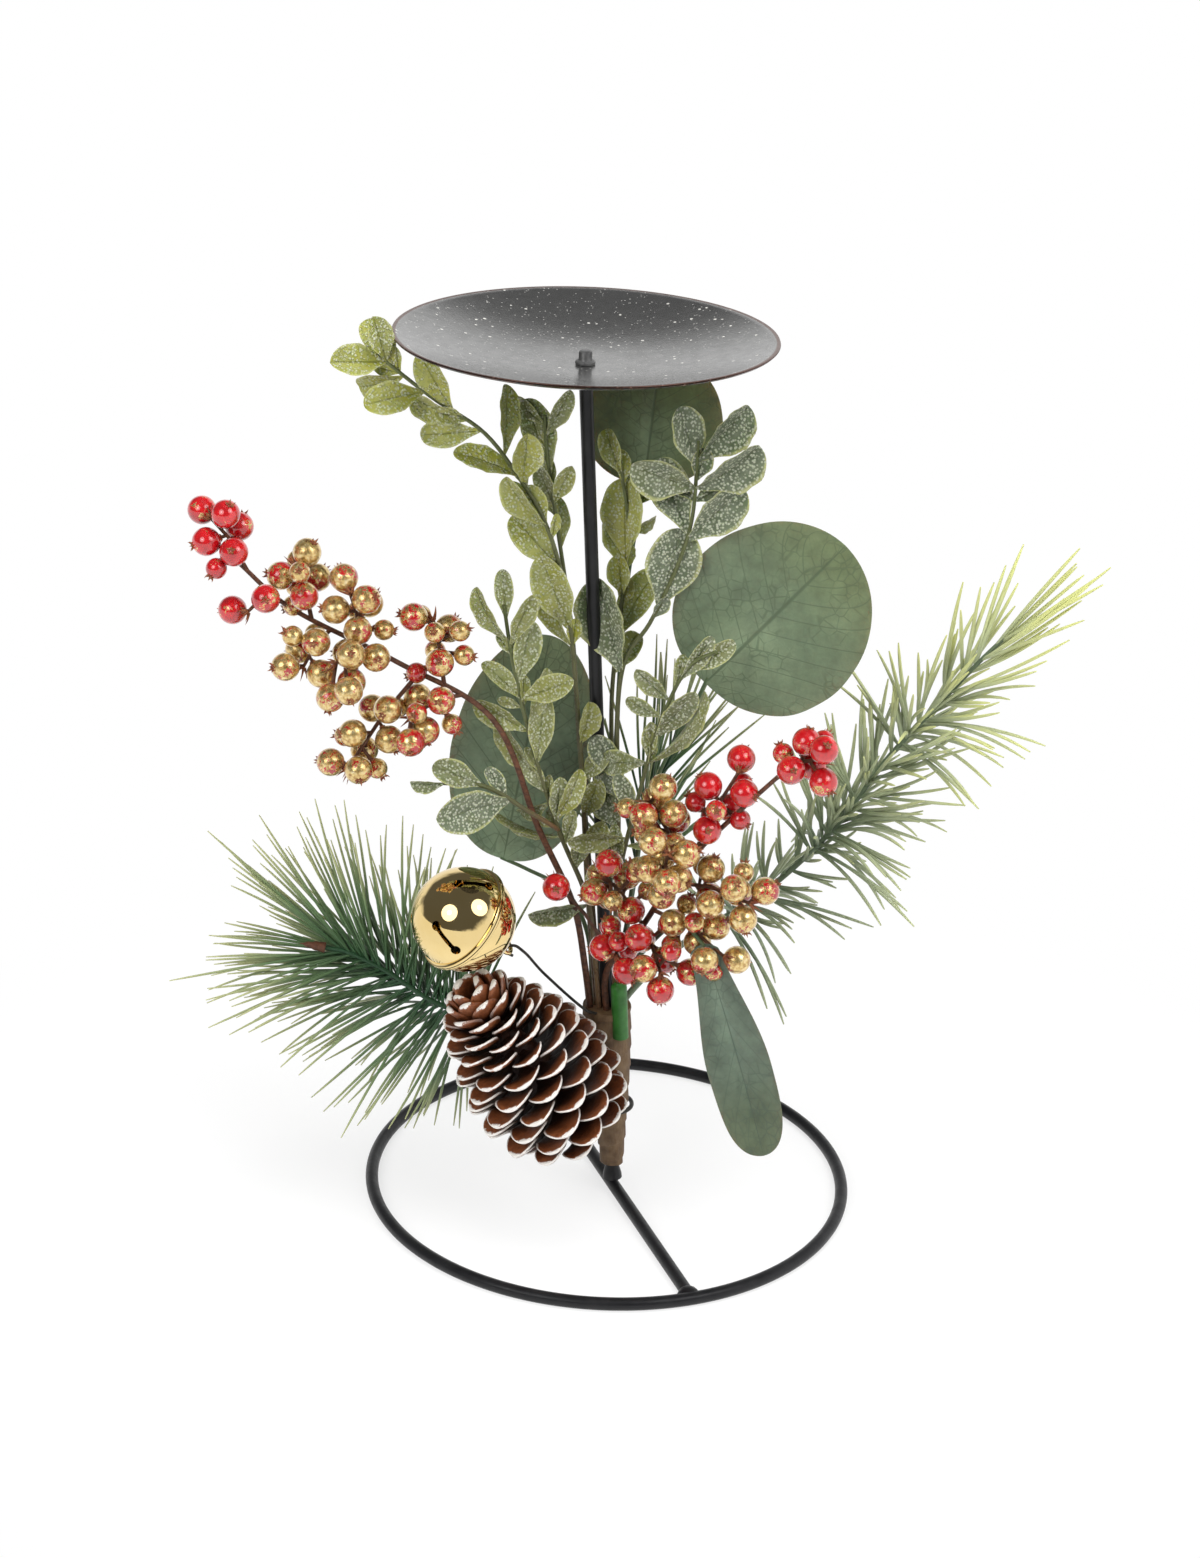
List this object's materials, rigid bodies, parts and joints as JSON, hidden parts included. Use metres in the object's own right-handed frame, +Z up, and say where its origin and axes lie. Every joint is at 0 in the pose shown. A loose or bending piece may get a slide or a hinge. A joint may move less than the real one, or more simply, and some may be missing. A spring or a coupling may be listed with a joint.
{
  "type": "christmas candlestick",
  "caption": "Wire candlestick on a ring foot with a shallow dish for a pillar candle and a bound artificial bouquet of pine, berries, leaves, a pine cone and a jingle bell.",
  "frame": {"origin": "on the table under the middle of the ring foot, on the crossbar's flat underside", "axes": "+Z up, the front seen in the picture faces -Y, +X to the viewer's right"},
  "size_m": [0.2658, 0.155, 0.2848],
  "materials": {
    "black_paint": "satin black paint on wire",
    "dish_paint": "satin charcoal paint with silver glitter specks",
    "tape": "brown crepe floral tape",
    "pick": "green moulded plastic",
    "cone": "dry brown cone with white painted edges",
    "wire": "dark annealed wire",
    "gold": "mirror gold plating",
    "bark": "brown wrapped twig",
    "berry": "glossy red lacquer with gold speckle",
    "round_leaf": "printed sage green with fine veins",
    "frosted_leaf": "olive green with white frost",
    "needle": "moulded green, paler at the tips"
  },
  "bodies": {
    "root": {"base_ring": "black_paint", "crossbar": "black_paint", "upright_rod": "black_paint", "dish_rivet": "black_paint", "candle_dish": "dish_paint", "stem_tape": "tape", "pick_stem": "pick", "pine_cone": "cone", "cone_wire": "wire", "bell_wire": "wire", "berry_stem_left": "bark", "berry_stem_right": "bark", "pine_bud_left": "bark", "berry_twig_left_1": "berry", "berry_twig_left_2": "berry", "berry_twig_left_3": "berry", "berry_twig_left_4": "berry", "berry_twig_left_5": "berry", "berry_twig_left_6": "berry", "berry_twig_left_7": "berry", "berry_twig_left_8": "berry", "berry_twig_left_9": "berry", "berry_twig_right_1": "berry", "berry_twig_right_2": "berry", "berry_twig_right_3": "berry", "berry_twig_right_4": "berry", "berry_twig_right_5": "berry", "berry_twig_right_6": "berry", "berry_twig_right_7": "berry", "berry_twig_right_8": "berry", "berry_twig_right_9": "berry", "berry_twig_right_10": "berry", "round_leaf_right": "round_leaf", "round_leaf_back": "round_leaf", "round_leaf_left": "round_leaf", "strap_leaf": "round_leaf", "leaf_spray_top": "frosted_leaf", "leaf_spray_centre": "frosted_leaf", "leaf_spray_back": "frosted_leaf", "leaf_spray_right": "frosted_leaf", "leaf_spray_left": "frosted_leaf", "leaf_spray_low": "frosted_leaf", "pine_sprig_left": "needle", "pine_sprig_right": "needle", "pine_sprig_back": "needle"},
    "bell": {"bell_front_shell": "gold", "bell_rear_shell": "gold", "bell_loop": "gold"},
    "pellet": {"bell_pellet": "wire"}
  },
  "joints": [
    {"name": "bell_swing", "type": "hinge", "parent": "root", "child": "bell", "pos_m": [-0.03278, -0.0336, 0.09868], "axis": [0.7053, -0.1834, 0.6847], "range_deg": [-8, 8]},
    {"name": "pellet_rattle", "type": "slide", "parent": "bell", "child": "pellet", "axis": [0, 0, 1], "range_m": [0, 0.018]}
  ]
}
